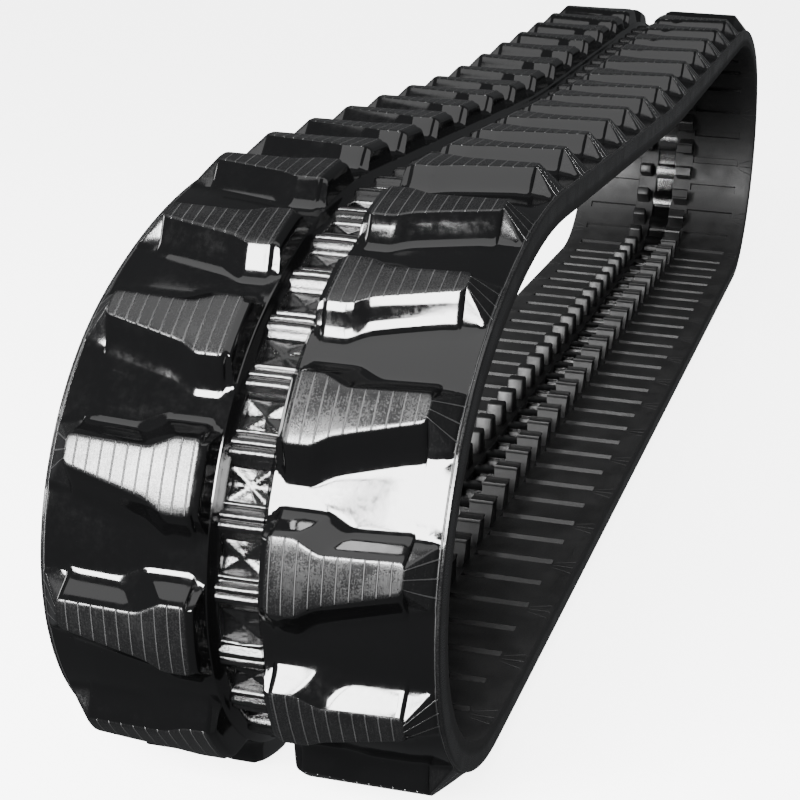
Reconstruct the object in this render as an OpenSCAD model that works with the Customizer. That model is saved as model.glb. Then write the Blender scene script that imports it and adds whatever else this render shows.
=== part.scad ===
// Steel-cored rubber track for a mini excavator, standing as a closed loop.
// X runs along the loop, Y across the belt, Z up, and the loop stands on its lowest tread lugs at Z 0.

/* [Belt] */
// Width across the belt
belt_w = 300; // [280:1:320]
// Length of one link, from core bar to core bar
link_pitch = 52.5; // [48:0.5:56]
// Number of links in the closed loop
link_count = 84; // [80:2:90]
// Thickness of the rubber carcass without lugs
carcass_t = 22; // [20:0.5:26]
// Depth of the cord layer under the tread face, where the belt neither stretches nor shrinks
cord_depth = 5; // [4:0.5:7]

/* [Loop shape] */
// Radius of the tight bend at each end, at the cord layer
end_bend_r = 174; // [150:1:195]
// Angle turned in the tight bend
end_bend_deg = 108; // [100:1:112]
// Radius of the shoulder bend above it
shoulder_r = 219; // [190:1:240]
// Angle turned in the shoulder bend
shoulder_deg = 44; // [40:1:48]
// Radius of the crown bend that leads into the top run
crown_r = 482; // [420:5:540]
// Angle turned in the crown bend
crown_deg = 29.8; // [29:0.1:33]
// Radius of the sag in the middle of the top run
sag_r = 3250; // [2500:50:5000]

/* [Tread lugs] */
// Height of a lug above the tread face
lug_h = 24; // [20:0.5:28]
// Width of the ledge between a window and the foot of the lugs beside it
ledge_w = 6; // [4:0.5:8]
// Width of the bevel from a lug's inner foot to the inner edge of its top
lug_bevel = 10; // [7:0.5:12]
// Width of the slope from the outer end of a lug's top to the belt's edge
lug_slope = 22; // [18:0.5:26]
// Length of a lug's wide inner head along the belt
lug_head_len = 47; // [40:0.5:52]
// Length of the valley floor between two lugs of one row
lug_valley = 15; // [10:0.5:20]

/* [Core bars] */
// Width of the plain rubber rim beyond the ends of the core bars
rim_w = 25; // [20:0.5:35]
// Width of a core bar along the belt
core_w = 23; // [20:0.5:28]
// Rubber between a core bar and the windows on both sides of it
bar_cover = 2.75; // [2:0.25:4]
// Thickness of a core bar's wings
core_t = 8; // [6:0.5:9]
// Height of a guide horn above the inner face, rubber included
horn_h = 25; // [20:0.5:32]

/* [Sprocket windows] */
// Width of a window across the belt
window_w = 30; // [26:0.5:36]
// Thickness of the skin left in each window
membrane_t = 2; // [1.5:0.1:3]

/* [Hidden] */

RUBBER = "#1b1c1d";
SKIN = "#202123";
STEEL = "#6d7073";
CORD = "#8a8c8f";

// Clearance kept between rubber on different moving bodies
gap = 0.3;
// Half of the slit where the loop is opened in the middle of the top run
slit = 0.3;
half_belt = belt_w / 2;
core_len = belt_w - 2 * rim_w;
window_len = link_pitch - core_w - 2 * bar_cover;
lug_foot_y = window_w / 2 + ledge_w;
lug_top_y = lug_foot_y + lug_bevel;
lug_end_y = half_belt - lug_slope;
tread_h = cord_depth;
inner_h = cord_depth - carcass_t;
lug_top_h = tread_h + lug_h;
ground_z = lug_top_h;

// --- The loop at the cord layer, from the middle of the bottom run, up the front end and over the top ---

half_loop = link_pitch * link_count / 2;
rise_deg = end_bend_deg + shoulder_deg + crown_deg;
sag_deg = rise_deg - 180;
end_len = arc_len(end_bend_r, end_bend_deg);
shoulder_len = arc_len(shoulder_r, shoulder_deg);
crown_len = arc_len(crown_r, crown_deg);
sag_len = arc_len(sag_r, sag_deg);
bends_len = end_len + shoulder_len + crown_len;
// Where the three bends end, along X from where they start
bends_x = -end_bend_r * sin(end_bend_deg)
    - shoulder_r * (sin(end_bend_deg + shoulder_deg) - sin(end_bend_deg))
    - crown_r * (sin(rise_deg) - sin(end_bend_deg + shoulder_deg));
// The straights that close the half loop: the slope of the top run and half of the bottom run
straights = half_loop - bends_len - sag_len;
slope_len = (straights - bends_x - sag_r * sin(sag_deg)) / (1 + cos(sag_deg));
bottom_len = straights - slope_len;

HALF = [
    [bottom_len, 0],
    [end_len, 1 / end_bend_r],
    [shoulder_len, 1 / shoulder_r],
    [crown_len, 1 / crown_r],
    [slope_len, 0],
    [sag_len, -1 / sag_r]
];
STRETCHES = concat(HALF, [for (i = [len(HALF) - 1 : -1 : 0]) HALF[i]]);
// Where each stretch starts: distance along the loop, X, height and heading in degrees
STARTS = [for (i = 0, p = [0, 0, 0, 0]; i < len(STRETCHES);
    p = advance(p, STRETCHES[i][0], STRETCHES[i][1]), i = i + 1) p];

function arc_len(r, a) = r * a * PI / 180;
function advance(p, d, k) =
    let (turn = d * k * 180 / PI)
    [
        p[0] + d,
        p[1] - (k == 0 ? d * cos(p[3]) : (sin(p[3] + turn) - sin(p[3])) / k),
        p[2] + (k == 0 ? d * sin(p[3]) : (cos(p[3]) - cos(p[3] + turn)) / k),
        p[3] + turn
    ];
function whole(s) = s - 2 * half_loop * floor(s / (2 * half_loop));
function stretch_at(s) = max([for (i = [0 : len(STARTS) - 1]) if (STARTS[i][0] <= s) i]);
function on_loop(s) =
    let (w = whole(s), i = stretch_at(w))
    advance(STARTS[i], w - STARTS[i][0], STRETCHES[i][1]);

// The belt is stiff over a core bar and over a window, so each is one straight chord
bar_chord = core_w + 3.25;
knot_at = [-bar_chord / 2, bar_chord / 2, link_pitch - bar_chord / 2, link_pitch + bar_chord / 2];
// A point where two chords meet, at distance s along the belt and height h above the cord layer
function knot(s, h) =
    let (p = on_loop(s))
    [p[1] - h * sin(p[3]), p[2] - h * cos(p[3]) + ground_z];
// A point of the belt: distance s along it and height h above the cord layer, towards the tread
function wrap(s, h) =
    let (
        from = floor(s / link_pitch) * link_pitch,
        r = s - from,
        c = r < knot_at[1] ? 0 : r < knot_at[2] ? 1 : 2,
        f = (r - knot_at[c]) / (knot_at[c + 1] - knot_at[c])
    )
    knot(from + knot_at[c], h) * (1 - f) + knot(from + knot_at[c + 1], h) * f;
function knots_between(a, b) =
    [for (i = [floor(a / link_pitch) : ceil(b / link_pitch)], k = [1, 2])
        let (s = i * link_pitch + knot_at[k])
        if (s > a + 0.01 && s < b - 0.01) s];
function stations(a, b) = concat([a], knots_between(a, b), [b]);
function band(a, b, h0, h1) =
    let (st = stations(a, b))
    concat([for (s = st) wrap(s, h1)], [for (i = [len(st) - 1 : -1 : 0]) wrap(st[i], h0)]);

// --- Sections of the belt, each from one window to another ---

function bar_s(i) = i * link_pitch;
function window_s(i) = (i + 0.5) * link_pitch;

end_window = round(bottom_len / link_pitch - 0.5);
low_window = ceil((bottom_len + bends_len) / link_pitch - 0.5);
slit_window = link_count / 2 - 1;
high_window = low_window + round((slit_window - low_window) * 0.62);
function far(i) = link_count - 1 - i;

// First and last window, then how the belt is cut there: at the window's middle, short of a flex web, or by the slit
MIDDLE = 0;
web_half = (link_pitch - bar_chord) / 2;
WEB = -web_half;
SLIT = -slit;
BOTTOM = [-1 - end_window, end_window, MIDDLE, MIDDLE];
FRONT_BEND = [end_window, low_window, MIDDLE, WEB];
TOP_FRONT = [low_window, high_window, WEB, WEB];
MID_FRONT = [high_window, slit_window, WEB, SLIT];
MID_REAR = [slit_window, far(high_window), SLIT, WEB];
TOP_REAR = [far(high_window), far(low_window), WEB, WEB];
REAR_BEND = [far(low_window), far(end_window), WEB, MIDDLE];

function first_s(sec) = window_s(sec[0]) - sec[2];
function last_s(sec) = window_s(sec[1]) + sec[3];
function bars(sec) = [sec[0] + 1 : sec[1]];
function windows(sec) = [for (i = [sec[0] : sec[1]]) i];
function inner_windows(sec) = [for (i = [sec[0] + 1 : sec[1] - 1]) i];

// --- Building blocks ---

module slab(points, y0, y1) {
    translate([0, y1, 0])
        rotate([90, 0, 0])
            linear_extrude(y1 - y0)
                polygon(points);
}

module both_sides() {
    children();
    mirror([0, 1, 0]) children();
}

// A block inside one chord, with its half length at heights h0 and h1
module block(s, half0, half1, h0, h1, y0, y1) {
    slab([wrap(s - half0, h0), wrap(s + half0, h0), wrap(s + half1, h1), wrap(s - half1, h1)], y0, y1);
}

// --- Steel core bars ---

wing_top_h = -3.5;
wing_h = wing_top_h - core_t;
bridge_top_h = -2.5;
bridge_h = wing_h - 1.5;
bridge_half_y = lug_foot_y + 1;
horn_skin = 4;
horn_cover = 6;
cover_y = [window_w / 2 + 7, window_w / 2 + 29];
cover_half = [bar_chord / 2, bar_chord / 2 - 4];
horn_y = [cover_y[0] + horn_skin, cover_y[1] - horn_skin];
horn_half = [cover_half[0] - 5, cover_half[1] - 4];
horn_tip_h = inner_h - horn_h;
// The rollers run on a band raised this much above the strip where the horns stand
path_rise = 0.5;
horn_seat_h = inner_h + path_rise;
horn_strip_y = cover_y[1] + 1.5;

module horn(i) {
    both_sides()
        block(bar_s(i), horn_half[0], horn_half[1], wing_top_h - 1, horn_tip_h + horn_cover, horn_y[0], horn_y[1]);
}

module core_bar(i) {
    union() {
        block(bar_s(i), core_w / 2, core_w / 2, wing_h, wing_top_h, -core_len / 2, core_len / 2);
        block(bar_s(i), core_w / 2, core_w / 2, bridge_h, bridge_top_h, -bridge_half_y, bridge_half_y);
        horn(i);
    }
}

module core_bars(sec) {
    color(STEEL)
        for (i = bars(sec)) core_bar(i);
}

// --- Rubber covers of the guide horns, two rows on the inner face ---

module guide_horns(sec) {
    color(RUBBER)
        for (i = bars(sec))
            difference() {
                both_sides()
                    block(bar_s(i), cover_half[0], cover_half[1], horn_seat_h, horn_tip_h, cover_y[0], cover_y[1]);
                horn(i);
            }
}

// --- Steel cord plies, one band on each side of the windows ---

ply_y = [cover_y[1] + 4, core_len / 2 - 7];
ply_t = 3;

module ply(a, b) {
    both_sides()
        slab(band(a, b, -ply_t / 2, ply_t / 2), ply_y[0], ply_y[1]);
}

module cord_ply(sec) {
    color(CORD)
        ply(first_s(sec), last_s(sec));
}

// --- Rubber carcass ---

slot_half = 6;
slot_depth = 4.5;
slot_y = [cover_y[1] + 2, core_len / 2 - 0.5];

module window_hole(i) {
    block(window_s(i), window_len / 2, window_len / 2, inner_h - 2, tread_h + 2, -window_w / 2, window_w / 2);
}

module horn_strip(a, b) {
    slab(band(a, b, inner_h - 2, horn_seat_h), -horn_strip_y, horn_strip_y);
}

module inner_slots(i) {
    both_sides()
        block(window_s(i), slot_half, slot_half, inner_h - 2, inner_h + slot_depth, slot_y[0], slot_y[1]);
}

module carcass(sec) {
    color(RUBBER)
        difference() {
            slab(band(first_s(sec), last_s(sec), inner_h, tread_h), -half_belt, half_belt);
            for (i = bars(sec)) core_bar(i);
            ply(first_s(sec) - 1, last_s(sec) + 1);
            horn_strip(first_s(sec) - 1, last_s(sec) + 1);
            for (i = windows(sec)) window_hole(i);
            for (i = windows(sec)) inner_slots(i);
        }
}

// --- Rubber skins left across the windows ---

skin_h = -6;

module skin(i, from, to) {
    slab(band(window_s(i) + from, window_s(i) + to, skin_h - membrane_t / 2, skin_h + membrane_t / 2),
        -window_w / 2, window_w / 2);
}

module whole_skins(list) {
    for (i = list) skin(i, -window_len / 2, window_len / 2);
}

module window_skins_base() {
    color(SKIN) {
        whole_skins(windows(BOTTOM));
        whole_skins(inner_windows(FRONT_BEND));
        whole_skins(inner_windows(REAR_BEND));
    }
}

module window_skins(sec) {
    color(SKIN) {
        whole_skins(inner_windows(sec));
        if (sec[3] == SLIT) skin(sec[1], -window_len / 2, -slit);
        if (sec[2] == SLIT) skin(sec[0], slit, window_len / 2);
    }
}

// --- Tread lugs ---

// A lug leans a little to the low side of its window
lug_lean = 1;
lug_foot = [lug_valley / 2 - link_pitch - lug_lean, link_pitch - lug_valley / 2 - lug_lean];
lug_head = [-lug_head_len / 2 - 1.5 * lug_lean, lug_head_len / 2 - 1.5 * lug_lean];
// Sections across a lug: distance from the belt's middle, height above the cord layer,
// and the two ends of its top along the belt
LUG = [
    [lug_foot_y, lug_top_h - 3.5, lug_head],
    [lug_top_y, lug_top_h, lug_head],
    [lug_top_y + 21, lug_top_h, lug_head],
    [lug_top_y + 37, lug_top_h, [lug_head[0] + 8, lug_head[1] - 6]],
    [lug_end_y, lug_top_h, [lug_head[0] + 23, lug_head[1] - 6]],
    [half_belt, tread_h + 3, [lug_head[0] + 17, lug_head[1]]]
];
WHOLE = [-100, 100];

function within(v, cut) = min(max(v, cut[0]), cut[1]);
// Places under the lug where the belt's chords meet
function foot_knots(w, cut) =
    [for (s = knots_between(w + within(lug_foot[0], cut), w + within(lug_foot[1], cut))) s - w];
function at(w, ds, y, h) =
    let (p = wrap(w + ds, h))
    [p[0], y, p[1]];

// One lug centred on window i. side is 1 on the left and -1 on the right, cut keeps a part of its
// length, and lift raises the foot over the belt's low and high side
module lug(i, side, cut, lift) {
    w = window_s(i);
    n = len(LUG);
    fk = foot_knots(w, cut);
    m = len(fk);
    lift_at = [for (s = fk) s < 0 ? lift[0] : lift[1]];
    rows = [for (r = LUG) [
        at(w, within(lug_foot[0], cut), r[0], tread_h + lift[0]),
        at(w, within(r[2][0], cut), r[0], r[1]),
        at(w, within(r[2][1], cut), r[0], r[1]),
        at(w, within(lug_foot[1], cut), r[0], tread_h + lift[1])
    ]];
    inner_foot = [for (j = [0 : m - 1]) at(w, fk[j], LUG[0][0], tread_h + lift_at[j])];
    outer_foot = [for (j = [0 : m - 1]) at(w, fk[j], LUG[n - 1][0], tread_h + lift_at[j])];
    points = concat([for (r = rows) each r], inner_foot, outer_foot);
    a = 4 * n;
    b = a + m;
    last = 4 * (n - 1);
    quads = concat(
        [for (j = [0 : n - 2], e = [0 : 2]) [4 * j + e, 4 * j + e + 4, 4 * j + e + 5, 4 * j + e + 1]],
        [for (j = [0 : m - 2]) [a + j, a + j + 1, b + j + 1, b + j]]
    );
    low_foot = concat([a], [b], [for (j = [n - 1 : -1 : 0]) 4 * j]);
    high_foot = concat([a + m - 1], [for (j = [0 : n - 1]) 4 * j + 3], [b + m - 1]);
    inner_end = concat([1, 2, 3], [for (j = [m - 1 : -1 : 0]) a + j], [0]);
    outer_end = concat([last + 1, last], [for (j = [0 : m - 1]) b + j], [last + 3, last + 2]);
    mirror([0, side > 0 ? 0 : 1, 0])
        polyhedron(points, concat(
            [for (q = quads) each fan(q)],
            fan(low_foot), fan(high_foot), fan(inner_end), fan(outer_end)
        ));
}
function fan(f) = [for (j = [1 : len(f) - 2]) [f[0], f[j], f[j + 1]]];

module lug_row(sec, side, ends) {
    color(RUBBER) {
        for (i = ends ? windows(sec) : inner_windows(sec))
            if (side_of(i) == side) lug(i, side, WHOLE, [0, 0]);
        if (sec[3] == SLIT && side_of(sec[1]) == side) lug(sec[1], side, [-100, -slit], [0, 0]);
        if (sec[2] == SLIT && side_of(sec[0]) == side) lug(sec[0], side, [slit, 100], [0, 0]);
    }
}
function side_of(i) = abs(i) % 2 == 0 ? 1 : -1;

// --- Flexing rubber at the four places where the top run bends ---

// near is 1 when the moving body lies past the window along the loop, and -1 when it lies before it
function web_from(near) = near > 0 ? gap - web_half : -web_half;
function web_to(near) = near > 0 ? web_half : web_half - gap;

module flex_web(i, near) {
    w = window_s(i);
    pocket_half = window_len / 2 - gap;
    color(RUBBER)
        difference() {
            slab(band(w + web_from(near), w + web_to(near), inner_h, tread_h - gap), -half_belt, half_belt);
            ply(w - 2 * web_half, w + 2 * web_half);
            horn_strip(w - 2 * web_half, w + 2 * web_half);
            inner_slots(i);
            block(w, pocket_half, pocket_half, inner_h - 2, skin_h - membrane_t / 2, -window_w / 2, window_w / 2);
            block(w, pocket_half, pocket_half, skin_h + membrane_t / 2, tread_h + 2, -window_w / 2, window_w / 2);
        }
}

module flex_lug(i, near) {
    color(RUBBER)
        lug(i, side_of(i), WHOLE, near > 0 ? [gap, 0] : [0, gap]);
}

module flex_cords(i, near) {
    color(CORD)
        ply(window_s(i) + web_from(near), window_s(i) + web_to(near));
}

carcass(BOTTOM);  // carcass_bottom
carcass(FRONT_BEND);  // carcass_front_bend
carcass(REAR_BEND);  // carcass_rear_bend
carcass(TOP_FRONT);  // carcass_top_front
carcass(MID_FRONT);  // carcass_mid_front
carcass(MID_REAR);  // carcass_mid_rear
carcass(TOP_REAR);  // carcass_top_rear
core_bars(BOTTOM);  // core_bars_bottom
core_bars(FRONT_BEND);  // core_bars_front_bend
core_bars(REAR_BEND);  // core_bars_rear_bend
core_bars(TOP_FRONT);  // core_bars_top_front
core_bars(MID_FRONT);  // core_bars_mid_front
core_bars(MID_REAR);  // core_bars_mid_rear
core_bars(TOP_REAR);  // core_bars_top_rear
guide_horns(BOTTOM);  // guide_horns_bottom
guide_horns(FRONT_BEND);  // guide_horns_front_bend
guide_horns(REAR_BEND);  // guide_horns_rear_bend
guide_horns(TOP_FRONT);  // guide_horns_top_front
guide_horns(MID_FRONT);  // guide_horns_mid_front
guide_horns(MID_REAR);  // guide_horns_mid_rear
guide_horns(TOP_REAR);  // guide_horns_top_rear
cord_ply(BOTTOM);  // cord_ply_bottom
cord_ply(FRONT_BEND);  // cord_ply_front_bend
cord_ply(REAR_BEND);  // cord_ply_rear_bend
cord_ply(TOP_FRONT);  // cord_ply_top_front
cord_ply(MID_FRONT);  // cord_ply_mid_front
cord_ply(MID_REAR);  // cord_ply_mid_rear
cord_ply(TOP_REAR);  // cord_ply_top_rear
lug_row(BOTTOM, 1, true);  // left_lugs_bottom
lug_row(FRONT_BEND, 1, false);  // left_lugs_front_bend
lug_row(REAR_BEND, 1, false);  // left_lugs_rear_bend
lug_row(TOP_FRONT, 1, false);  // left_lugs_top_front
lug_row(MID_FRONT, 1, false);  // left_lugs_mid_front
lug_row(MID_REAR, 1, false);  // left_lugs_mid_rear
lug_row(TOP_REAR, 1, false);  // left_lugs_top_rear
lug_row(BOTTOM, -1, true);  // right_lugs_bottom
lug_row(FRONT_BEND, -1, false);  // right_lugs_front_bend
lug_row(REAR_BEND, -1, false);  // right_lugs_rear_bend
lug_row(TOP_FRONT, -1, false);  // right_lugs_top_front
lug_row(MID_FRONT, -1, false);  // right_lugs_mid_front
lug_row(MID_REAR, -1, false);  // right_lugs_mid_rear
lug_row(TOP_REAR, -1, false);  // right_lugs_top_rear
window_skins_base();
window_skins(TOP_FRONT);  // window_skins_top_front
window_skins(MID_FRONT);  // window_skins_mid_front
window_skins(MID_REAR);  // window_skins_mid_rear
window_skins(TOP_REAR);  // window_skins_top_rear
flex_web(low_window, 1);  // flex_web_front_low
flex_web(high_window, 1);  // flex_web_front_high
flex_web(far(high_window), -1);  // flex_web_rear_high
flex_web(far(low_window), -1);  // flex_web_rear_low
flex_lug(low_window, 1);  // flex_lug_front_low
flex_lug(high_window, 1);  // flex_lug_front_high
flex_lug(far(high_window), -1);  // flex_lug_rear_high
flex_lug(far(low_window), -1);  // flex_lug_rear_low
flex_cords(low_window, 1);  // flex_cords_front_low
flex_cords(high_window, 1);  // flex_cords_front_high
flex_cords(far(high_window), -1);  // flex_cords_rear_high
flex_cords(far(low_window), -1);  // flex_cords_rear_low
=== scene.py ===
import math

import bmesh
import bpy
import numpy as np
from mathutils import Matrix, Vector


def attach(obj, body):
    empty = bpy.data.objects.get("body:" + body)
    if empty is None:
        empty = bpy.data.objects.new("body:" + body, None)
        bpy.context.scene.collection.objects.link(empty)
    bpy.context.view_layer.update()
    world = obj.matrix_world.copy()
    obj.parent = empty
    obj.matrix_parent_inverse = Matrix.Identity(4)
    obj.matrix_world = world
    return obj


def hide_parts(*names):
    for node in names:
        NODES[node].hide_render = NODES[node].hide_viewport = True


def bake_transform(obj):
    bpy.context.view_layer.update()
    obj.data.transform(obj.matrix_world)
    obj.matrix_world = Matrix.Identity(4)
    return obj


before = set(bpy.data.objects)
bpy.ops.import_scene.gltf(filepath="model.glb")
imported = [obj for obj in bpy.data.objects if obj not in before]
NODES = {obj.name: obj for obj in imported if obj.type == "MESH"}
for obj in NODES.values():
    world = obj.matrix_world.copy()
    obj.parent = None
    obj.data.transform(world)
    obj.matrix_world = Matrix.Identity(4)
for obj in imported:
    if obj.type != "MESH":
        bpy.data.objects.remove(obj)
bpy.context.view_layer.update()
MM = 0.001


# The belt's sizes are in millimetres, and wrap() turns them into metres.
# s is the distance along the belt, y the distance across it from the middle line, and h the height above the
# cord layer, outwards. Window i lies between core bars i and i + 1, with its middle at s = (i + 0.5) * PITCH.

# --- The loop that the belt follows ---

PITCH = 52.5
LINKS = 84
LOOP = PITCH * LINKS
# Radius of each bend at one end of the loop and its angle in degrees, from the bottom up
BENDS = [(174.0, 108.0), (219.0, 44.0), (482.0, 29.8)]
SAG_RADIUS = 3250.0
# Length of belt that each core bar holds straight
BAR_CHORD = 26.25
# Height of the inner face, and how far the cord layer of the bottom run is above the floor
INNER_H = -17.0
CORD_LAYER_Z = 29.0


def half_stretches():
    """Length and curvature of each stretch, from the middle of the bottom run to that of the top run."""
    arcs = [(radius * math.radians(angle), 1 / radius) for radius, angle in BENDS]
    sag_turn = math.radians(sum(angle for radius, angle in BENDS) - 180)
    sag_length = SAG_RADIUS * sag_turn
    reach, heading = 0.0, 0.0
    for radius, angle in BENDS:
        reach -= radius * (math.sin(math.radians(heading + angle)) - math.sin(math.radians(heading)))
        heading += angle
    straights = LOOP / 2 - sum(length for length, curve in arcs) - sag_length
    slope = (straights - reach - SAG_RADIUS * math.sin(sag_turn)) / (1 + math.cos(sag_turn))
    return [(straights - slope, 0.0), *arcs, (slope, 0.0), (sag_length, -1 / SAG_RADIUS)]


def advance(place, length, curve):
    """The place (distance, x, z, heading) after one more length of constant curvature."""
    s, x, z, heading = place
    if curve == 0:
        return (s + length, x - length * math.cos(heading), z + length * math.sin(heading), heading)
    after = heading + length * curve
    along = (math.sin(after) - math.sin(heading)) / curve
    up = (math.cos(heading) - math.cos(after)) / curve
    return (s + length, x - along, z + up, after)


HALF = half_stretches()
STRETCHES = HALF + HALF[::-1]
STARTS = [(0.0, 0.0, 0.0, 0.0)]
for length, curve in STRETCHES:
    STARTS.append(advance(STARTS[-1], length, curve))


def on_loop(s):
    """The place (distance, x, z, heading) at distance s along the cord layer."""
    s = s % LOOP
    i = max(j for j in range(len(STRETCHES)) if STARTS[j][0] <= s + 1e-9)
    return advance(STARTS[i], s - STARTS[i][0], STRETCHES[i][1])


def knots():
    """The ends of each bar's chord: distance, x and z at the cord layer, and the outward direction there."""
    rows = []
    for link in range(-3, LINKS + 4):
        for side in (-1, 1):
            s = link * PITCH + side * BAR_CHORD / 2
            _, x, z, heading = on_loop(s)
            rows.append((s, x, z + CORD_LAYER_Z, -math.sin(heading), -math.cos(heading)))
    return np.array(rows)


KNOTS = knots()
# The table of places goes past both ends of the loop by this much
OVERLAP = 120.0
STEPS = np.arange(-OVERLAP, LOOP + OVERLAP, 0.5)
# The belt's angles are softened by taking the mean over these shifts
SHIFTS = (-8.0, -4.0, 0.0, 4.0, 8.0)
TABLE = np.zeros((len(STEPS), 4))
for shift in SHIFTS:
    for c in range(4):
        TABLE[:, c] += np.interp(STEPS + shift, KNOTS[:, 0], KNOTS[:, c + 1]) / len(SHIFTS)


def wrap(flat):
    """Points (s, y, h) of the flat belt in millimetres, laid round the loop, in metres."""
    s = np.where(flat[:, 0] < -OVERLAP / 2, flat[:, 0] + LOOP, flat[:, 0])
    x, z, out_x, out_z = (np.interp(s, STEPS, TABLE[:, c]) for c in range(4))
    h = flat[:, 2]
    return np.stack([x + h * out_x, flat[:, 1], z + h * out_z], 1) * MM


# --- The shape of one tread lug, with s from the middle of its window ---

ROW = 2 * PITCH
CREST = 28.94
# The lug's inner and outer end, and the radius of its corners there
LUG_IN, LUG_OUT = 28.5, 128.0
LUG_CORNER = 4.0
# How steeply the flanks fall from the upper and the lower edge
HIGH_STEEP = 1.4
LOW_STEEP = 1.15
# The upper edge is at HIGH_WIDE, steps in to HIGH_NARROW between the two places of STEP, then widens a little
HIGH_WIDE, HIGH_NARROW = 23.0, 14.8
HIGH_WIDENS = 0.036
STEP = (47.5, 66.0)
# The step leans outwards by this much per millimetre down the flank, for the first LEAN_REACH millimetres
STEP_LEAN = 1.25
LEAN_REACH = 15.0
# The lower edge is at LOW_WIDE, then follows a chamfer and a taper: each has its start y, s and its slope
LOW_WIDE = -25.8
CHAMFER = (50.0, LOW_WIDE, 0.6)
TAPER = (68.0, -17.0, 0.24)
# The lug's outer end falls by OUTER_FALL over OUTER_RUN
OUTER_FALL, OUTER_RUN = 20.6, 18.0
# Places y and heights of the lug's inner end: a low bevel, a steep wall, and a slope up to the crest
TOP_LINE = [
    (15.0, 0.0), (20.4, 0.0), (21.0, 4.0), (22.0, 12.0), (23.0, 20.0),
    (23.8, 25.0), (24.8, 26.3), (31.0, CREST), (90.0, CREST),
]


def ramp(a, b, v):
    """0 up to a, 1 from b on, and smooth between."""
    t = min(max((v - a) / (b - a), 0.0), 1.0)
    return t * t * (3 - 2 * t)


def soft_min(a, b, k):
    """The smaller of two values, rounded off where they are less than k apart."""
    m = max(k - abs(a - b), 0.0) / k
    return min(a, b) - m * m * k / 4


def soft_max(a, b, k):
    """The larger of two values, rounded off where they are less than k apart."""
    return -soft_min(-a, -b, k)


def corner(y, inner, outer, radius):
    """How far a rounded corner pulls in the edge at y, near the inner and the outer end."""
    d = min(y - inner, outer - y)
    d = min(max(d, 0.0), radius)
    return radius - math.sqrt(max(radius * radius - (radius - d) ** 2, 0.0))


def high_edge(y, lean=0.0):
    """The lug's upper edge from its middle, with the step moved outwards by lean."""
    at = y - lean
    outer = HIGH_NARROW + HIGH_WIDENS * (min(max(at, STEP[1]), LUG_OUT) - STEP[1])
    step = HIGH_WIDE - (HIGH_WIDE - HIGH_NARROW) * (at - STEP[0]) / (STEP[1] - STEP[0])
    return soft_max(soft_min(HIGH_WIDE, step, 1.0), outer, 2.0) - corner(y, LUG_IN, LUG_OUT, LUG_CORNER)


def low_edge(y):
    """The lug's lower edge from its middle, as a negative distance."""
    chamfer = CHAMFER[1] + CHAMFER[2] * (y - CHAMFER[0])
    taper = TAPER[1] + TAPER[2] * (min(y, LUG_OUT) - TAPER[0])
    edge = soft_max(LOW_WIDE, soft_min(chamfer, taper, 2.0), 2.0)
    return edge + corner(y, LUG_IN, LUG_OUT, LUG_CORNER)


def past_high(y, s):
    """How far s is past the upper edge, on the flank that leans with the step."""
    u = s - high_edge(y)
    for _ in range(14):
        u = (u + s - high_edge(y, STEP_LEAN * min(max(u, 0.0), LEAN_REACH))) / 2
    return u


def top_line(y):
    """Height of the lug's top, its inner bevel and wall, and its outer slope."""
    inner = float(np.interp(y, [p[0] for p in TOP_LINE], [p[1] for p in TOP_LINE]))
    outer = CREST - (y - LUG_OUT) * OUTER_FALL / OUTER_RUN
    return max(soft_min(inner, outer, 1.2), 0.0)


def base_line(y):
    """Height of the tread between the lugs: a bevel by the window, a flat floor, a shoulder and a rim."""
    bevel = 8.0 * ramp(15.3, 21.0, y)
    shoulder = 2.3 * min(max((y - 116.0) / 30.0, 0.0), 1.0)
    rim = 0.9 * ramp(149.0, 150.2, y)
    return 1.5 + bevel - shoulder - rim


def fillet(y):
    """Size of the rounding at the lug's foot: wide along the flanks, small by the window and at the rim."""
    return 2.0 + 7.0 * ramp(22.0, 27.0, y) - 6.5 * ramp(132.0, 145.0, y)


def tread_height(y, s):
    """Height of the tread; the lug repeats every two links."""
    high, low = high_edge(y), low_edge(y)
    if s > high:
        fall = min(HIGH_STEEP * past_high(y, s), LOW_STEEP * (low + ROW - s))
    elif s < low:
        fall = min(HIGH_STEEP * past_high(y, s + ROW), LOW_STEEP * (low - s))
    else:
        fall = -min(HIGH_STEEP * (high - s), LOW_STEEP * (s - low))
    lug = soft_min(top_line(y), CREST - fall, 2.6)
    return soft_max(base_line(y), lug, fillet(y))


# --- One link of the belt on one side: rows along the belt, columns round its section ---

# Columns over the tread, closer together where its shape changes
TOP_Y = [
    15.6, 16.6, 18.6, 20.4, 21.4, 22.2, 23.0, 23.7, 24.3, 25.2, 28.0, 29.5, 31.0, 33.0, 40.0, 45.0, 46.8,
    47.5, 48.2, 50.0, 52.5, 56.5, 60.5, 63.5, 65.2, 66.0, 67.0, 69.0, 73.0, 81.0, 92.0, 104.0, 114.8,
    117.0, 122.0, 124.5, 126.0, 127.2, 128.0, 128.8, 130.5, 134.0, 138.0, 141.0, 143.5, 145.2, 146.4,
    148.2, 149.2, 149.7,
]
# Columns down the belt's outer edge and up the window's wall: y, h, and how far the rows have gone over from
# the tread's spacing to the inner face's
EDGE = [
    (150.0, 5.6, 0.1), (150.0, 3.0, 0.25), (150.0, -3.0, 0.5), (150.0, -9.0, 0.7),
    (150.0, -14.0, 0.9), (149.5, -16.2, 1.0), (148.2, -17.0, 1.0),
]
WALL = [(15.4, -16.3, 0.9), (15.0, -15.0, 0.8), (15.0, -8.0, 0.5), (15.0, -2.5, 0.2), (15.0, 0.6, 0.05)]
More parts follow.
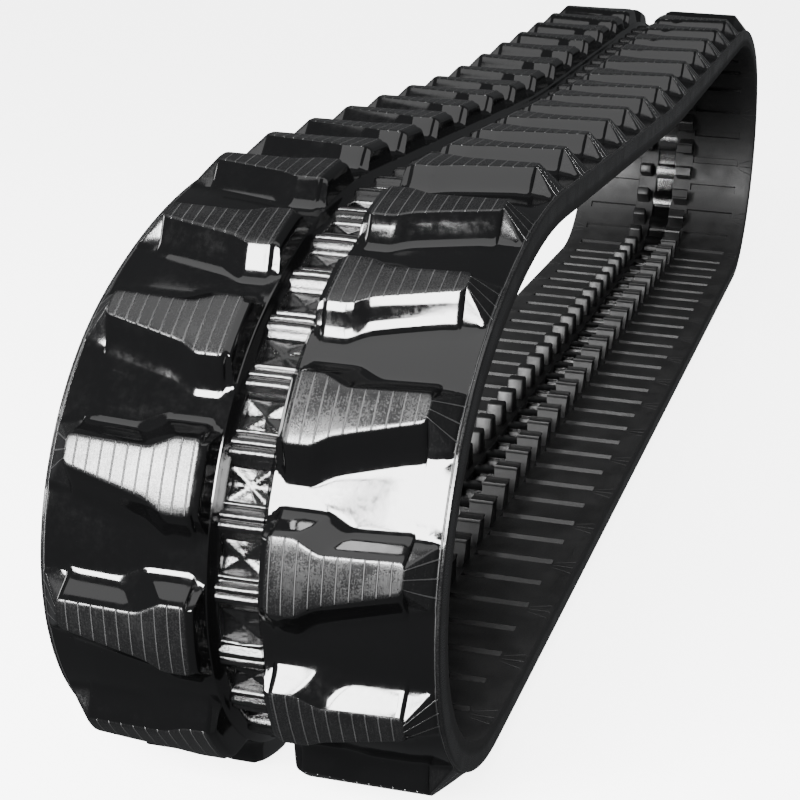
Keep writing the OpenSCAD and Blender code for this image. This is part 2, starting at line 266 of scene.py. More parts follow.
# Columns and rows of the inner face
INNER_Y = [138.0, 126.0, 125.2, 124.2, 110.0, 90.0, 70.0, 50.0, 47.2, 46.2, 45.7, 45.3, 30.0, 17.0]
INNER_S = [
    0.0, 5.3, 6.2, 7.5, 11.0, 15.0, 19.0, 23.0, 26.25, 29.5, 33.5, 37.5, 41.5, 45.0, 46.3, 47.2, 52.5,
]
# The slots of the inner face, one at every window: ends, half width and depth
SLOT_ENDS = (47.0, 124.5)
SLOT_HALF = 5.5
SLOT_DEPTH = 4.5
# The strip that the horns stand on reaches out to PATH_Y; outside it the rollers' path is PATH_RISE proud
PATH_Y = 45.5
PATH_RISE = 0.5
# Rows at the crease along the lug's edge, and at the flank's foot
NEAR_EDGE = [-2.0, -0.8, 0.1, 1.0]
NEAR_FOOT = [-5.6, -3.4, -1.3, 0.8, 3.0, 5.4]
# The columns follow the step's lean this far down the flank
COLUMN_REACH = 14.0


def tread_rows(y, high):
    """Where the rows cross column y, from the lug's middle to halfway to the next lug of its row."""
    edge, steep = (high_edge(y), HIGH_STEEP) if high else (-low_edge(y), LOW_STEEP)
    base = base_line(y)
    crease = edge + (CREST - max(top_line(y), base + 6.0)) / steep
    foot = min(max(edge + (CREST - base) / steep, crease + 8.0), PITCH - 6.5)
    down = [crease + d for d in NEAR_EDGE]
    down.append((crease + NEAR_EDGE[-1] + foot + NEAR_FOOT[0]) / 2)
    down += [foot + d for d in NEAR_FOOT]
    down += [down[-1] + (PITCH - down[-1]) * share for share in (1 / 3, 2 / 3, 1.0)]
    rows = [0.0, down[0] * 0.4, down[0] * 0.8, *down]
    return rows if high else [-v for v in rows[::-1]]


def leaned(y, s):
    """Column y moved outwards along the step's creases, and back again before the next link."""
    u = s - high_edge(y)
    reach = min(max(u, 0.0), COLUMN_REACH) * (1 - ramp(COLUMN_REACH, PITCH - high_edge(y), u))
    share = ramp(31.0, 46.0, y) * (1 - ramp(68.0, 112.0, y))
    return y + STEP_LEAN * reach * share


def between(tread, inner, share):
    """Rows that have gone over from the tread's spacing to the inner face's by a share."""
    return [a * (1 - share) + b * share for a, b in zip(tread, inner)]


def section_columns(high):
    """Every column round the section, each as a list of points (s, y, h)."""
    start = 0.0 if high else -PITCH
    inner = [start + v for v in INNER_S]
    columns = []
    for y in TOP_Y:
        places = [(s, leaned(y, s) if high else y) for s in tread_rows(y, high)]
        columns.append([(s, across, tread_height(across, s)) for s, across in places])
    for y, h, share in EDGE:
        columns.append([(s, y, h) for s in between(tread_rows(TOP_Y[-1], high), inner, share)])
    for y in INNER_Y:
        slot = SLOT_DEPTH if SLOT_ENDS[0] < y < SLOT_ENDS[1] else 0.0
        strip = PATH_RISE if y < PATH_Y else 0.0
        deep = [slot if min(v, PITCH - v) < SLOT_HALF else 0.0 for v in INNER_S]
        columns.append([(s, y, INNER_H + strip + d) for s, d in zip(inner, deep)])
    for y, h, share in WALL:
        columns.append([(s, y, h) for s in between(tread_rows(TOP_Y[0], high), inner, share)])
    return columns


# The tread's flat map holds s and y, made smaller by this factor
MAP_SCALE = 0.01


def link_tile(name, high, side):
    """One link's rubber on one side, flat, as a mesh in millimetres."""
    columns = section_columns(high)
    across, along = len(columns), len(columns[0]) - 1
    bm = bmesh.new()
    tread_map = bm.loops.layers.uv.new("Tread")
    height = bm.verts.layers.float.new("height")
    bmesh.ops.create_grid(bm, x_segments=across, y_segments=along, size=1.0)
    for v in bm.verts:
        c = round((v.co.x + 1) / 2 * across)
        r = round((v.co.y + 1) / 2 * along)
        s, y, h = columns[c % across][r]
        v.co = (s, y * side, h)
        v[height] = h
    for f in bm.faces:
        for loop in f.loops:
            loop[tread_map].uv = (loop.vert.co.x * MAP_SCALE, abs(loop.vert.co.y) * MAP_SCALE)
    bmesh.ops.remove_doubles(bm, verts=bm.verts[:], dist=0.001)
    mesh = bpy.data.meshes.new(name)
    bm.to_mesh(mesh)
    bm.free()
    return mesh


TILES = {}
for high in (True, False):
    for side in (1, -1):
        TILES[(high, side)] = link_tile(f"tile_{high}_{side}", high, side)


def unique(items):
    """The items in their order, each once."""
    return list(dict.fromkeys(items))


# Weights of s, y and h when faces are put in order: by s first, then by y, then by h
FACE_ORDER = Vector((1000.0, 10.0, 1.0))


def sort_faces(bm):
    """Puts the faces in one fixed order, because an extrusion adds its side faces in an order of its own."""
    bm.faces.sort(key=lambda f: f.calc_center_median().dot(FACE_ORDER))
    bm.faces.index_update()


def face_outwards(bm):
    """Turns every face outwards."""
    bmesh.ops.recalc_face_normals(bm, faces=bm.faces[:])
    if bm.calc_volume(signed=True) < 0:
        bmesh.ops.reverse_faces(bm, faces=bm.faces[:])


def add_object(name, bm, material):
    """A smooth-shaded object from a bmesh, which is freed."""
    mesh = bpy.data.meshes.new(name)
    bm.to_mesh(mesh)
    bm.free()
    mesh.materials.append(material)
    for p in mesh.polygons:
        p.use_smooth = True
    obj = bpy.data.objects.new(name, mesh)
    bpy.context.scene.collection.objects.link(obj)
    return obj


def round_the_loop(name, bm, material, crease):
    """An object from the flat belt's bmesh, laid round the loop, with edges sharp above the crease angle."""
    face_outwards(bm)
    obj = add_object(name, bm, material)
    mesh = obj.data
    co = np.zeros(len(mesh.vertices) * 3)
    mesh.vertices.foreach_get("co", co)
    mesh.vertices.foreach_set("co", wrap(co.reshape(-1, 3)).ravel())
    mesh.update()
    mesh.set_sharp_from_angle(angle=math.radians(crease))
    return obj


# The belt is open at this window, with this much room between its two ends
SLIT_WINDOW = 41
SLIT = 0.8
BELT_CREASE = 38
MIDDLE_CREASE = 50


def belt_side(name, side, first, last, material):
    """The rubber of one side of the belt from window first to window last."""
    bm = bmesh.new()
    for i in range(first, last):
        high = (i % 2 == 0) == (side > 0)
        before = len(bm.verts)
        bm.from_mesh(TILES[(high, side)])
        bm.verts.ensure_lookup_table()
        centre = (i + 0.5 if high else i + 1.5) * PITCH
        bmesh.ops.translate(bm, vec=(centre, 0, 0), verts=bm.verts[before:])
    bmesh.ops.remove_doubles(bm, verts=bm.verts[:], dist=0.002)
    for window, inwards in ((first, 1), (last, -1)):
        s = (window + 0.5) * PITCH
        rim = [e for e in bm.edges if e.is_boundary and all(abs(v.co.x - s) < 0.01 for v in e.verts)]
        if window == SLIT_WINDOW:
            ends = unique(v for e in rim for v in e.verts)
            bmesh.ops.translate(bm, vec=(inwards * SLIT / 2, 0, 0), verts=ends)
        bmesh.ops.triangle_fill(bm, edges=rim, use_beauty=True)
    return round_the_loop(name, bm, material, BELT_CREASE)


# The core starts this far before the slit's middle, and is this long
SLEEVE_BEFORE, SLEEVE_LENGTH = 3.0, 8.0
# The middle of the belt's section, and how much of its width and thickness the core has
SLEEVE_Y, SLEEVE_H = 82.5, -3.75
SLEEVE_WIDTH, SLEEVE_THICK = 0.994, 0.96


def slit_sleeve(name, side, material):
    """A short core of rubber in the slit, a little smaller than the belt, to close the view through it."""
    s = (SLIT_WINDOW + 0.5) * PITCH - SLEEVE_BEFORE
    bm = bmesh.new()
    around = []
    for column in section_columns(True):
        _, y, h = column[-1]
        y = SLEEVE_Y + (y - SLEEVE_Y) * SLEEVE_WIDTH
        h = SLEEVE_H + (h - SLEEVE_H) * SLEEVE_THICK
        around.append(bm.verts.new((s, side * y, h)))
    end = bm.faces.new(around)
    grown = bmesh.ops.extrude_face_region(bm, geom=[end], use_keep_orig=True)["geom"]
    far = [g for g in grown if isinstance(g, bmesh.types.BMVert)]
    bmesh.ops.translate(bm, vec=(SLEEVE_LENGTH, 0, 0), verts=far)
    bmesh.ops.triangulate(bm, faces=[f for f in bm.faces if len(f.verts) > 4])
    sort_faces(bm)
    return round_the_loop(name, bm, material, BELT_CREASE)


# --- Small shapes on the middle line and on the inner face ---

# The outline (s, h) of the rubber over one core bar's middle, and the columns y across it
BRIDGE = [
    (14.4, -9.0), (14.3, -3.0), (13.7, 0.4), (12.6, 1.7), (11.2, 1.7), (10.0, 0.4), (9.0, -0.3),
    (7.8, 0.6), (6.3, 3.4), (4.6, 4.7), (2.4, 4.8), (0.9, 3.9), (0.2, 2.4), (-0.6, 3.2), (-2.2, 4.5),
    (-4.4, 4.7), (-6.6, 3.7), (-8.6, 1.2), (-10.6, -0.8), (-12.8, -1.8), (-14.0, -3.6), (-14.4, -9.0),
    (-13.4, -14.5), (-8.0, -16.6), (8.0, -16.6), (13.4, -14.5),
]
BRIDGE_Y = [-16.5, -14.6, -12.0, -7.0, 0.0, 7.0, 12.0, 14.6, 16.5]
# The raised side of a bridge is lower towards its ends, and uneven by a little, differently on each bar
BRIDGE_SAGS = 0.35
BRIDGE_UNEVEN = 0.12


def add_bridge(bm, bar):
    """The rubber over the middle of one core bar, between two windows: a lip and two ribs across."""
    across, along = len(BRIDGE_Y) - 1, len(BRIDGE)
    made = bmesh.ops.create_grid(bm, x_segments=across, y_segments=along, size=1.0)["verts"]
    for v in made:
        c = round((v.co.x + 1) / 2 * across)
        r = round((v.co.y + 1) / 2 * along) % along
        s, h = BRIDGE[r]
        y = BRIDGE_Y[c]
        low = 0.0
        if h >= 0.5:
            low = BRIDGE_SAGS * (abs(y) / 15.0) ** 4 + BRIDGE_UNEVEN * math.sin(bar * 2.1 + y * 0.55 + s)
        v.co = (bar * PITCH + s, y, h - low)
    bmesh.ops.remove_doubles(bm, verts=made, dist=0.001)


# A window skin: squares along each side, half its length and width, and the heights of its two faces
SKIN_SQUARES = 12
SKIN_HALF_S, SKIN_HALF_Y = 12.6, 15.4
SKIN_OUT_H, SKIN_IN_H = -7.4, -10.0
# Height of the cross on a skin's outer face, and of the rise between its arms
CROSS_H, RISE_H = 3.0, 1.6


def add_skin(bm, window):
    """The thin rubber left across one window, with its raised cross."""
    middle = window * PITCH + PITCH / 2
    made = bmesh.ops.create_grid(bm, x_segments=SKIN_SQUARES, y_segments=SKIN_SQUARES, size=1.0)["verts"]
    faces = unique(f for v in made for f in v.link_faces)
    grown = bmesh.ops.extrude_face_region(bm, geom=faces)["geom"]
    below = [g for g in grown if isinstance(g, bmesh.types.BMVert)]
    for v in made:
        u, w = v.co.x, v.co.y
        arm = min(abs(u - w), abs(u + w)) / math.sqrt(2)
        out = max(abs(u), abs(w))
        lean = 0.16 * math.sin(window * 1.7) * (1 - out)
        width = 0.10 + 0.12 * out
        cross = CROSS_H * math.exp(-((arm + lean * w) / width) ** 2) * (0.8 + 0.35 * out)
        rise = RISE_H * math.sin(math.pi * min(abs(abs(u) - abs(w)), 1.0)) * out
        v.co = (middle + u * SKIN_HALF_S, w * SKIN_HALF_Y, SKIN_OUT_H + cross + rise)
    for v in below:
        v.co = (middle + v.co.x * SKIN_HALF_S, v.co.y * SKIN_HALF_Y, SKIN_IN_H)


# A guide horn at its root and at its tip: half length along the belt, inner and outer side, height
HORN_ROOT = (13.1, 22.05, 43.95, -16.4)
HORN_TIP = (9.1, 22.6, 43.2, -42.0)
HORN_BEVEL = 2.6


def add_horn(bm, bar, side):
    """One guide horn: a tapered, rounded rubber post over the steel horn."""
    made = bmesh.ops.create_cube(bm, size=2.0)["verts"]
    for v in made:
        half_s, inner, outer, h = HORN_TIP if v.co.z < 0 else HORN_ROOT
        y = inner if v.co.y < 0 else outer
        v.co = (bar * PITCH + math.copysign(half_s, v.co.x), side * y, h)
    edges = unique(e for v in made for e in v.link_edges)
    tip_h = HORN_TIP[3]
    rounded = [e for e in edges if any(v.co.z < tip_h + 1.0 for v in e.verts)]
    bmesh.ops.bevel(
        bm, geom=rounded, offset=HORN_BEVEL, offset_type="OFFSET", affect="EDGES",
        segments=2, profile=0.5, material=-1,
    )


def add_horn_pair(bm, bar):
    """The left and the right guide horn of one core bar."""
    for side in (1, -1):
        add_horn(bm, bar, side)


def middle_piece(name, add, items, material):
    """One object from the shape that add makes for each bar or window."""
    bm = bmesh.new()
    for item in items:
        add(bm, item)
    bmesh.ops.holes_fill(bm, edges=[e for e in bm.edges if e.is_boundary], sides=0)
    sort_faces(bm)
    return round_the_loop(name, bm, material, MIDDLE_CREASE)


# --- Materials ---


def new_material(name):
    """A material, its node tree and its shader."""
    material = bpy.data.materials.new(name)
    material.use_nodes = True
    tree = material.node_tree
    shader = next(n for n in tree.nodes if n.type == "BSDF_PRINCIPLED")
    return material, tree, shader


class Wires:
    """Short ways to add and join nodes in one tree."""

    def __init__(self, tree):
        self.tree = tree

    def put(self, n, key, value):
        """Joins a socket to an input or sets its value; the key is a number, or a name with underscores."""
        socket = n.inputs[key if isinstance(key, int) else key.replace("_", " ")]
        if isinstance(value, bpy.types.NodeSocket):
            self.tree.links.new(value, socket)
        else:
            socket.default_value = value

    def node(self, kind, **inputs):
        """A new node with some of its inputs."""
        n = self.tree.nodes.new(kind)
        for key, value in inputs.items():
            self.put(n, key, value)
        return n

    def group(self, tree, **inputs):
        """The outputs of a node group with its inputs."""
        n = self.tree.nodes.new("ShaderNodeGroup")
        n.node_tree = tree
        for key, value in inputs.items():
            self.put(n, key, value)
        return n.outputs

    def math(self, op, a, b=0.0):
        n = self.tree.nodes.new("ShaderNodeMath")
        n.operation = op
        self.put(n, 0, a)
        self.put(n, 1, b)
        return n.outputs[0]

    def plus(self, a, b):
        return self.math("ADD", a, b)

    def minus(self, a, b):
        return self.math("SUBTRACT", a, b)

    def times(self, a, b):
        return self.math("MULTIPLY", a, b)

    def larger(self, a, b):
        return self.math("MAXIMUM", a, b)

    def size(self, a):
        return self.math("ABSOLUTE", a)

    def span(self, value, a, b, at_a=0.0, at_b=1.0):
        """Goes smoothly from at_a, where the value is a, to at_b, where it is b."""
        n = self.tree.nodes.new("ShaderNodeMapRange")
        n.interpolation_type = "SMOOTHSTEP"
        for i, v in enumerate((value, a, b, at_a, at_b)):
            self.put(n, i, v)
        return n.outputs[0]

    def until(self, value, a, b):
        """1 up to a, 0 from b on."""
        return self.span(value, a, b, 1.0, 0.0)

    def noise(self, scale, detail, vector, rough=0.5):
        n = self.node("ShaderNodeTexNoise", Scale=scale, Detail=detail, Vector=vector, Roughness=rough)
        return n.outputs["Fac"]

    def stretch(self, vector, x, y, z):
        """A vector with its three numbers multiplied."""
        n = self.tree.nodes.new("ShaderNodeVectorMath")
        n.operation = "MULTIPLY"
        self.put(n, 0, vector)
        self.put(n, 1, (x, y, z))
        return n.outputs[0]

    def blend(self, fac, a, b):
        """Between two colours."""
        n = self.tree.nodes.new("ShaderNodeMix")
        n.data_type = "RGBA"
        self.put(n, 0, fac)
        self.put(n, 6, a)
        self.put(n, 7, b)
        return n.outputs[2]

    def mix(self, fac, a, b):
        """Between two numbers."""
        n = self.tree.nodes.new("ShaderNodeMix")
        self.put(n, 0, fac)
        self.put(n, 2, a)
        self.put(n, 3, b)
        return n.outputs[0]

    def bump(self, height, strength, distance, normal=None):
        """The surface direction with a fine relief, laid over an earlier one if there is one."""
        n = self.node("ShaderNodeBump", Strength=strength, Distance=distance, Height=height)
        if normal is not None:
            self.put(n, "Normal", normal)
        return n.outputs[0]


def new_group(name, inputs, outputs):
    """A shader node group; inputs and outputs are named sockets with their kinds."""
    group = bpy.data.node_groups.new(name, "ShaderNodeTree")
    for in_out, sockets in (("INPUT", inputs), ("OUTPUT", outputs)):
        for label, kind in sockets.items():
            group.interface.new_socket(name=label, in_out=in_out, socket_type=f"NodeSocket{kind}")
    w = Wires(group)
    return group, w, w.node("NodeGroupInput").outputs, w.node("NodeGroupOutput")


def moulded_grain_group():
    """The mottle of moulded rubber, soft clouds and a fine grain: a roughness, a dust mask and a height."""
    group, w, given, out = new_group(
        "moulded_grain",
        {
            "Place": "Vector", "Cloud Scale": "Float", "Grain Scale": "Float",
            "Smooth": "Float", "Rough": "Float", "Grain Share": "Float",
        },
        {"Roughness": "Float", "Dust": "Float", "Height": "Float"},
    )
    cloud = w.noise(given["Cloud Scale"], 3.0, given["Place"])
    grain = w.noise(given["Grain Scale"], 5.0, given["Place"], 0.65)
    mottle = w.plus(w.times(cloud, 0.45), w.times(grain, 0.55))
    w.put(out, "Roughness", w.span(mottle, 0.36, 0.64, given["Smooth"], given["Rough"]))
    w.put(out, "Dust", w.times(w.span(grain, 0.5, 0.74), given["Grain Share"]))
    w.put(out, "Height", w.plus(w.times(grain, given["Grain Share"]), w.times(cloud, 0.3)))
    return group


def mill_scale_group():
    """The skin of forged or drawn steel: dark scale in patches over brighter metal."""
    group, w, given, out = new_group(
        "mill_scale",
        {
            "Place": "Vector", "Scale Size": "Float", "Patch Size": "Float",
            "Smooth": "Float", "Rough": "Float",
        },
        {"Roughness": "Float", "Bright": "Float", "Height": "Float"},
    )
    scale = w.noise(given["Scale Size"], 6.0, given["Place"], 0.7)
    patch = w.noise(given["Patch Size"], 3.0, given["Place"])
    w.put(out, "Roughness", w.span(patch, 0.3, 0.7, given["Smooth"], given["Rough"]))
    w.put(out, "Bright", w.span(scale, 0.4, 0.7))
    w.put(out, "Height", scale)
    return group


MOULDED_GRAIN = moulded_grain_group()
MILL_SCALE = mill_scale_group()

GLOSS_BLACK = (0.0018, 0.0018, 0.0019, 1)
SATIN_BLACK = (0.004, 0.004, 0.0042, 1)
DUST_GREY = (0.016, 0.016, 0.016, 1)
# A lighter grey on the thin raised lines and the rim line: a painted highlight on these ridges, whose relief
# itself comes from a bump
LINE_HIGHLIGHT_GREY = (0.03, 0.03, 0.031, 1)
MOULD_BLACK = (0.003, 0.003, 0.0031)
FORGED_GREY = (0.32, 0.32, 0.33)
CORD_GREY = (0.50, 0.48, 0.42)
RUBBER_IOR = 1.8

# The thin lines on the lug tops: one at y of LINE_AT and every LINE_GAP from there
LINE_AT, LINE_GAP = 42.0, 9.7
# The three ridges on a lug's outer slope: s of the middle one, and how far apart they start
RIDGE_AT, RIDGE_GAP = 6.5, 5.6
# The line along the belt's rim
RIM_Y = 146.6


def raised_lines(w, s, y, h):
    """Where the thin raised lines are: on the lug tops, fanned out over the outer slopes, and at the rim."""
    # The 20 whole gaps only keep the count above zero
    gaps = w.plus(w.times(w.minus(y, LINE_AT), 1 / LINE_GAP), 20.0)
    beat = w.math("PINGPONG", gaps, 0.5)
    on_top = w.times(w.span(h, 28.0, 28.6), w.until(y, 124.0, 125.0))
    line = w.times(w.until(beat, 0.03, 0.08), on_top)
    # The ridges spread as the slope goes down
    spread = w.plus(w.times(w.minus(y, LUG_OUT), 1.3 / OUTER_RUN), 1.0)
    fan = w.math("DIVIDE", w.minus(s, RIDGE_AT), spread)
    middle_ridge = w.until(w.size(fan), 0.15, 0.42)
    side_ridges = w.until(w.size(w.minus(w.size(fan), RIDGE_GAP)), 0.15, 0.42)
    on_slope = w.times(w.span(y, 127.6, 128.6), w.until(y, 147.0, 148.0))
    ridge = w.times(w.larger(side_ridges, middle_ridge), on_slope)
    rim = w.times(w.until(w.size(w.minus(y, RIM_Y)), 0.2, 0.8), w.span(h, 5.6, 6.4))
    return w.larger(w.larger(line, ridge), w.times(rim, 0.8))


def tread_rubber():
    """Moulded black rubber: glossy flanks and valleys, satin lug tops with thin raised lines across them."""
    material, tree, shader = new_material("tread_rubber")
    w = Wires(tree)
    tread_map = w.node("ShaderNodeUVMap")
    tread_map.uv_map = "Tread"
    flat = tread_map.outputs[0]
    parts = w.node("ShaderNodeSeparateXYZ", Vector=flat)
    s = w.times(parts.outputs[0], 1 / MAP_SCALE)
    y = w.times(parts.outputs[1], 1 / MAP_SCALE)
    level = w.node("ShaderNodeAttribute")
    level.attribute_name = "height"
    h = level.outputs["Fac"]
    place = w.node("ShaderNodeTexCoord").outputs["Object"]
    lines = raised_lines(w, s, y, h)
    # Satin on the lug tops, the outer slopes, the rim and everything below the tread; gloss elsewhere
    top = w.span(h, 27.6, 28.5)
    slope = w.times(w.span(y, 127.0, 130.0), w.span(h, 9.0, 12.0, 0.0, 0.6))
    outer = w.larger(slope, w.span(y, 145.0, 147.0))
    satin = w.larger(w.larger(top, outer), w.until(h, -1.0, 3.0))
    inner = w.until(h, -12.0, -4.0)
    gloss_grain = w.group(
        MOULDED_GRAIN, Place=place, Cloud_Scale=22.0, Grain_Scale=160.0,
        Smooth=0.045, Rough=0.13, Grain_Share=0.25,
    )
    satin_grain = w.group(
        MOULDED_GRAIN, Place=place, Cloud_Scale=34.0, Grain_Scale=700.0,
        Smooth=0.17, Rough=0.36, Grain_Share=1.0,
    )
    # Fine scuffs along the travel, on the satin parts only
    scuff = w.noise(1.0, 4.0, w.stretch(flat, 7.0, 190.0, 1.0), 0.6)
    rough = w.mix(satin, gloss_grain["Roughness"], satin_grain["Roughness"])
    rough = w.plus(rough, w.times(w.times(w.minus(scuff, 0.5), satin), 0.3))
    rough = w.plus(rough, w.times(lines, 0.3))
    rough = w.plus(rough, w.times(inner, 0.35))
    w.put(shader, "Roughness", rough)
    dusty = w.plus(satin_grain["Dust"], w.span(scuff, 0.55, 0.75))
    dusty = w.times(dusty, w.times(w.minus(satin, inner), 0.5))
    base = w.blend(satin, GLOSS_BLACK, SATIN_BLACK)
    base = w.blend(dusty, base, DUST_GREY)
    # The raised lines and the rim line are painted a lighter grey: a painted highlight, laid over their bump
    # relief
    base = w.blend(w.times(lines, 0.6), base, LINE_HIGHLIGHT_GREY)
    w.put(shader, "Base Color", base)
    fine = w.plus(satin_grain["Height"], w.times(scuff, 0.6))
    shaped = w.bump(w.times(fine, satin), 0.2, 0.0005)
    shaped = w.bump(lines, 1.0, 0.0015, shaped)
    shaped = w.bump(gloss_grain["Height"], 0.1, 0.0009, shaped)
    w.put(shader, "Normal", shaped)
    shader.inputs["IOR"].default_value = RUBBER_IOR
    return material


def gloss_rubber(name, colour, smooth, rough, depth):
    """Black rubber with the moulded mottle; depth is the strength of its fine relief."""
    material, tree, shader = new_material(name)
    w = Wires(tree)
    grain = w.group(
        MOULDED_GRAIN, Place=w.node("ShaderNodeTexCoord").outputs["Object"],
        Cloud_Scale=60.0, Grain_Scale=500.0, Smooth=smooth, Rough=rough, Grain_Share=0.4,
    )
    paler = tuple(c * 2.5 for c in colour) + (1,)
    w.put(shader, "Roughness", grain["Roughness"])
    w.put(shader, "Base Color", w.blend(grain["Dust"], colour + (1,), paler))
    w.put(shader, "Normal", w.bump(grain["Height"], depth, 0.002))
    shader.inputs["IOR"].default_value = RUBBER_IOR
    return material


def bare_steel(name, colour, smooth, rough):
    """Steel with darker mill scale in patches."""
    material, tree, shader = new_material(name)
    w = Wires(tree)
    scale = w.group(
        MILL_SCALE, Place=w.node("ShaderNodeTexCoord").outputs["Object"],
        Scale_Size=180.0, Patch_Size=30.0, Smooth=smooth, Rough=rough,
    )
    dark = tuple(c * 0.45 for c in colour) + (1,)
    w.put(shader, "Roughness", scale["Roughness"])
    w.put(shader, "Base Color", w.blend(scale["Bright"], dark, colour + (1,)))
    w.put(shader, "Normal", w.bump(scale["Height"], 0.4, 0.0008))
    shader.inputs["Metallic"].default_value = 1.0
    return material


TREAD = tread_rubber()
HORN = gloss_rubber("horn_rubber", MOULD_BLACK, 0.42, 0.62, 0.2)
SKIN = gloss_rubber("skin_rubber", MOULD_BLACK, 0.06, 0.16, 0.30)
MIDDLE = gloss_rubber("middle_rubber", MOULD_BLACK, 0.08, 0.22, 0.35)
STEEL = bare_steel("forged_steel", FORGED_GREY, 0.35, 0.6)
CORD = bare_steel("cord_steel", CORD_GREY, 0.25, 0.4)

for name, node in NODES.items():
    kind = STEEL if name.startswith("core_bars") else CORD if "cord" in name else None
    if kind:
        node.data.materials.clear()
        node.data.materials.append(kind)

# --- The belt, cut where the track's bodies meet ---

# Each length of belt, the body it rides on, and its first and last window
SECTIONS = [
    ("bottom", "base", -16, 15),
    ("front_bend", "base", 15, 29),
    ("top_front", "top_front", 31, 36),
    ("mid_front", "mid_front", 38, 41),
    ("mid_rear", "mid_rear", 41, 45),
    ("top_rear", "top_rear", 47, 52),
    ("rear_bend", "base", 54, 68),
]
# Each flexing window: its joint, the bodies before and after it, and the window
FLEXES = [
    ("front_low", "base", "top_front", 30),
    ("front_high", "top_front", "mid_front", 37),
    ("rear_high", "mid_rear", "top_rear", 46),
    ("rear_low", "top_rear", "base", 53),
]
SIDES = [("left", 1), ("right", -1)]


def finish_piece(obj, slot, *stands_for):
    """Hides the nodes of the frame that a piece is shown in place of; the piece and its material slot are not
    used.
    """
    if stands_for:
        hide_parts(*stands_for)


for part, body, first, last in SECTIONS:
    for word, side in SIDES:
        strip = belt_side(f"belt_{part}_{word}", side, first, last, TREAD)
        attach(strip, body)
        shown = [f"{word}_lugs_{part}"] + ([f"carcass_{part}"] if side > 0 else [])
        finish_piece(strip, "carcass_rubber", *shown)

for part, before, after, window in FLEXES:
    for word, side in SIDES:
        strip = belt_side(f"belt_flex_{part}_{word}", side, window - 1, window + 1, TREAD)
        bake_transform(strip)
        shown = [f"flex_lug_{part}"] if (window % 2 == 0) == (side > 0) else [f"flex_web_{part}"]
        finish_piece(strip, "carcass_rubber", *shown)
    skin = middle_piece(f"window_skin_flex_{part}", add_skin, [window], SKIN)
    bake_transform(skin)
    finish_piece(skin, "skin_rubber")

for word, side in SIDES:
    sleeve = slit_sleeve(f"slit_sleeve_{word}", side, MIDDLE)
    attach(sleeve, "mid_front")
    finish_piece(sleeve, "carcass_rubber")

# The core bars of each length of belt, and the body they ride on
BARS = {
    "bottom": ("base", range(-15, 16)),
    "front_bend": ("base", range(16, 31)),
    "top_front": ("top_front", range(31, 38)),
    "mid_front": ("mid_front", range(38, 42)),
    "mid_rear": ("mid_rear", range(42, 47)),
    "top_rear": ("top_rear", range(47, 54)),
    "rear_bend": ("base", range(54, 69)),
}
for part, (body, bars) in BARS.items():
    bridges = middle_piece(f"bridges_{part}", add_bridge, bars, MIDDLE)
    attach(bridges, body)
    finish_piece(bridges, "carcass_rubber")
    horns = middle_piece(f"horns_{part}", add_horn_pair, bars, HORN)
    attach(horns, body)
    finish_piece(horns, "horn_rubber", f"guide_horns_{part}")

# The windows whose skins ride on one body; the slit's window has none
SKINS = {
    "base": [*range(54, 84), *range(0, 30)],
    "top_front": range(31, 37),
    "mid_front": range(38, 41),
    "mid_rear": range(42, 46),
    "top_rear": range(47, 53),
}
for body, windows in SKINS.items():
    skins = middle_piece(f"window_skins_seen_{body}", add_skin, windows, SKIN)
    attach(skins, body)
    finish_piece(skins, "skin_rubber", f"window_skins_{body}")

for mesh in TILES.values():
    bpy.data.meshes.remove(mesh)

# --- Camera ---

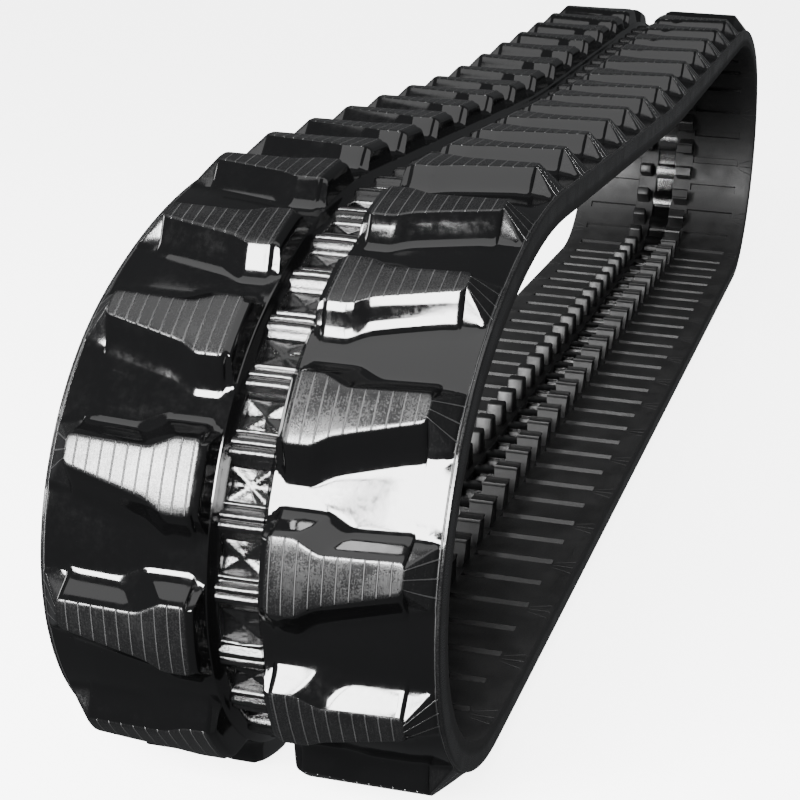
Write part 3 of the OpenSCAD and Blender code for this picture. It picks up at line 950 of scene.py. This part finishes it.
# Place in metres, angles in radians
CAMERA_PLACE = (-2.0118, -0.4299, 0.7290)
yaw, pitch, roll = 0.217141, 0.365948, 0.042118
ahead = Vector((math.cos(pitch) * math.cos(yaw), math.cos(pitch) * math.sin(yaw), -math.sin(pitch)))
level_right = ahead.cross(Vector((0, 0, 1))).normalized()
level_up = level_right.cross(ahead)
right = math.cos(roll) * level_right + math.sin(roll) * level_up
up = -math.sin(roll) * level_right + math.cos(roll) * level_up
turned = Matrix((right, up, -ahead)).transposed().to_4x4()
camera_data = bpy.data.cameras.new("camera")
camera = bpy.data.objects.new("camera", camera_data)
bpy.context.scene.collection.objects.link(camera)
camera.matrix_world = Matrix.Translation(CAMERA_PLACE) @ turned
camera_data.sensor_fit = "HORIZONTAL"
camera_data.sensor_width = 36.0
camera_data.lens = 76.37
camera_data.shift_x = -0.1592
camera_data.shift_y = 0.0936
camera_data.clip_start = 0.05
camera_data.clip_end = 200.0
bpy.context.scene.camera = camera

# --- Floor and studio light ---

# The floor glows, so that it stays near white. It is hidden from reflections and from bounced light, so that
# the rubber stays dark.
FLOOR_PALE = (0.85, 0.85, 0.85, 1)
FLOOR_GLOW = 5.0
bm = bmesh.new()
bmesh.ops.create_grid(bm, x_segments=1, y_segments=1, size=40.0)
floor_material, _, floor_shader = new_material("studio_floor")
floor_shader.inputs["Base Color"].default_value = FLOOR_PALE
floor_shader.inputs["Roughness"].default_value = 0.9
floor_shader.inputs["Emission Color"].default_value = (1.0, 1.0, 1.0, 1)
floor_shader.inputs["Emission Strength"].default_value = FLOOR_GLOW
floor = add_object("studio_floor", bm, floor_material)
floor.visible_glossy = False
floor.visible_diffuse = False


def softbox(name, place, target, size_x, size_y, power):
    """A rectangular light that looks from a place to a target; sizes in metres, power in watts."""
    data = bpy.data.lights.new(name, "AREA")
    data.shape = "RECTANGLE"
    data.size = size_x
    data.size_y = size_y
    data.energy = power
    light = bpy.data.objects.new(name, data)
    bpy.context.scene.collection.objects.link(light)
    aim = Vector(target) - Vector(place)
    light.matrix_world = Matrix.Translation(place) @ aim.to_track_quat("-Z", "Y").to_matrix().to_4x4()


softbox("front_right", (-3.2, -0.074, 1.84), (0, -0.074, 1.84), 1.4575, 1.28, 352.0)
softbox("front_left", (-3.2, 1.21, 1.77), (0, 1.21, 1.77), 0.98, 1.42, 262.0)
softbox("overhead", (-0.9, -0.2, 3.2), (-0.9, -0.2, 0), 2.2, 4.0, 25.0)
softbox("far_side", (-0.6, 3.4, 1.4), (-0.4, 0, 0.3), 1.6, 0.8, 30.0)

world = bpy.data.worlds.new("studio")
world.use_nodes = True
background = world.node_tree.nodes["Background"]
background.inputs["Color"].default_value = (0.95, 0.97, 1.0, 1)
background.inputs["Strength"].default_value = 0.10
bpy.context.scene.world = world
